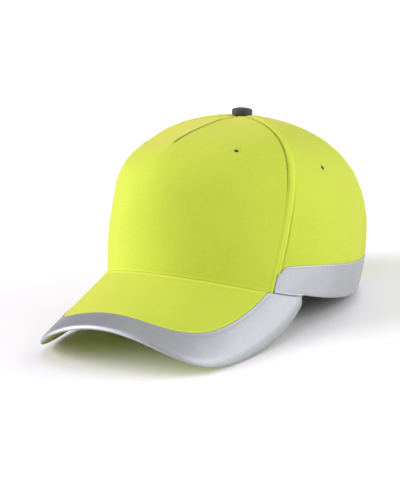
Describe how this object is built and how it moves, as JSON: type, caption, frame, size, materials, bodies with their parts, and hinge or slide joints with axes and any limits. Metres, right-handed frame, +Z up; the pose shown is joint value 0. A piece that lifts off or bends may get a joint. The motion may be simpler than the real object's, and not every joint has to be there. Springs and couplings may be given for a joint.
{
  "type": "bump cap",
  "caption": "High-visibility baseball-style bump cap: stitched fabric crown and curved peak with reflective trim over a removable protective shell with foam pads.",
  "frame": {"origin": "on the resting plane, under the middle of the cap's outline", "axes": "+Z up, -Y towards the tip of the peak, +X to the wearer's left"},
  "size_m": [0.1694, 0.2876, 0.1413],
  "materials": {
    "hi_vis_fabric": "fluorescent yellow woven polyester",
    "reflective_fabric": "silver retroreflective tape, satin",
    "seam_tape": "woven tape",
    "binding_cloth": "bias binding",
    "buckram": "stiffened open weave",
    "sweatband_cloth": "soft dark towelling",
    "eyelet_thread": "embroidered",
    "button_cloth": "dark cloth over a button blank",
    "washer_metal": "stamped",
    "peak_board_plastic": "flexible board",
    "hook_and_loop": "hook and loop fastener",
    "shell_plastic": "moulded, fine texture",
    "foam": "closed-cell foam with brushed cloth face"
  },
  "bodies": {
    "cap": {"front_panel": "hi_vis_fabric", "side_panel_left": "hi_vis_fabric", "side_panel_right": "hi_vis_fabric", "back_panel_left": "hi_vis_fabric", "back_panel_right": "hi_vis_fabric", "front_stiffener": "buckram", "dart_tape": "seam_tape", "centre_back_tape": "seam_tape", "front_seam_tape_left": "seam_tape", "front_seam_tape_right": "seam_tape", "back_seam_tape_left": "seam_tape", "back_seam_tape_right": "seam_tape", "sweatband": "sweatband_cloth", "arch_binding": "binding_cloth", "reflective_band_left": "reflective_fabric", "reflective_band_right": "reflective_fabric", "rim_hem_left": "reflective_fabric", "rim_hem_right": "reflective_fabric", "eyelet_front_left": "eyelet_thread", "eyelet_front_right": "eyelet_thread", "eyelet_side_left": "eyelet_thread", "eyelet_side_right": "eyelet_thread", "eyelet_back_left": "eyelet_thread", "eyelet_back_right": "eyelet_thread", "peak_top_cover": "hi_vis_fabric", "peak_under_cover": "hi_vis_fabric", "peak_board": "peak_board_plastic", "peak_reflective_strip": "reflective_fabric", "top_button": "button_cloth", "button_washer": "washer_metal", "hook_strap_root": "hi_vis_fabric", "loop_strap": "hi_vis_fabric", "loop_patch": "hook_and_loop"},
    "closure_tab": {"hook_strap_tab": "hi_vis_fabric", "hook_patch": "hook_and_loop"},
    "shell_insert": {"shell": "shell_plastic", "crown_pad": "foam", "front_pad": "foam", "back_pad": "foam", "side_pad_left": "foam", "side_pad_right": "foam"}
  },
  "joints": [
    {"name": "closure_peel", "type": "hinge", "parent": "cap", "child": "closure_tab", "pos_m": [0.03524, 0.12067, 0.01416], "axis": [-0.0783, -0.4569, -0.8861], "range_deg": [0, 120]},
    {"name": "shell_out", "type": "slide", "parent": "cap", "child": "shell_insert", "axis": [0, -0.196, -0.9806], "range_m": [0, 0.12]}
  ]
}
